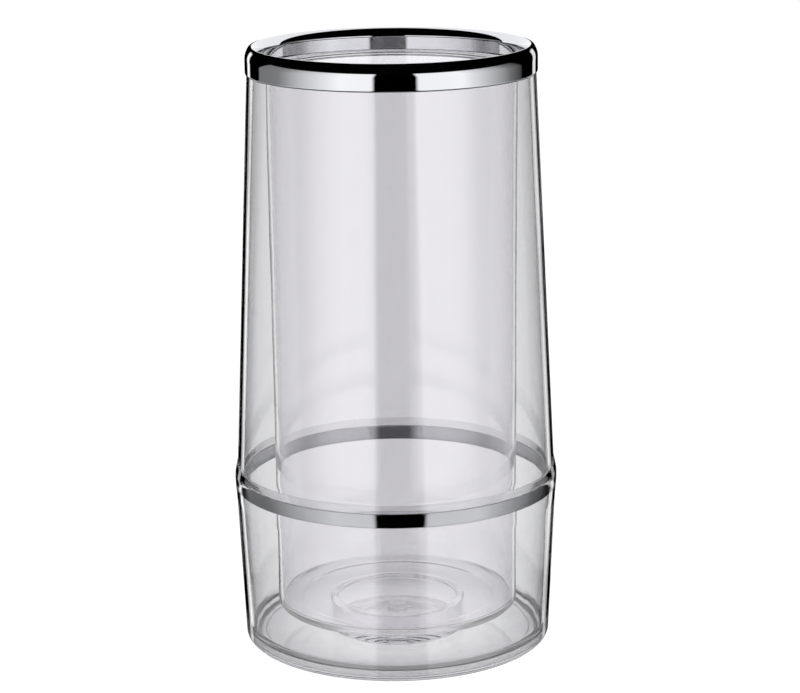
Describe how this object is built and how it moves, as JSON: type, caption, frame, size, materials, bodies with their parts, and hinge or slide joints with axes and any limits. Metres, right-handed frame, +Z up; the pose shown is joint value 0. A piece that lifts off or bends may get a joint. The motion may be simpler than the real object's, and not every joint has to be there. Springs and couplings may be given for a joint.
{
  "type": "double-walled bottle cooler",
  "caption": "Clear double-walled bottle cooler: tapered sleeve in a cup, inner liner with a well in its floor, bright rim ring and waist band.",
  "frame": {"origin": "on the vertical axis, in the plane that the foot ring stands on", "axes": "+Z up along the axis; the object is turned, so +X and +Y are any two horizontal directions"},
  "size_m": [0.124, 0.124, 0.2298],
  "materials": {
    "clear_plastic": "clear, polished mould surface",
    "chromed_plastic": "bright electroplated chrome"
  },
  "bodies": {
    "root": {"base_cup": "clear_plastic", "outer_sleeve": "clear_plastic", "liner": "clear_plastic", "rim_ring": "chromed_plastic", "waist_band": "chromed_plastic"}
  },
  "joints": []
}
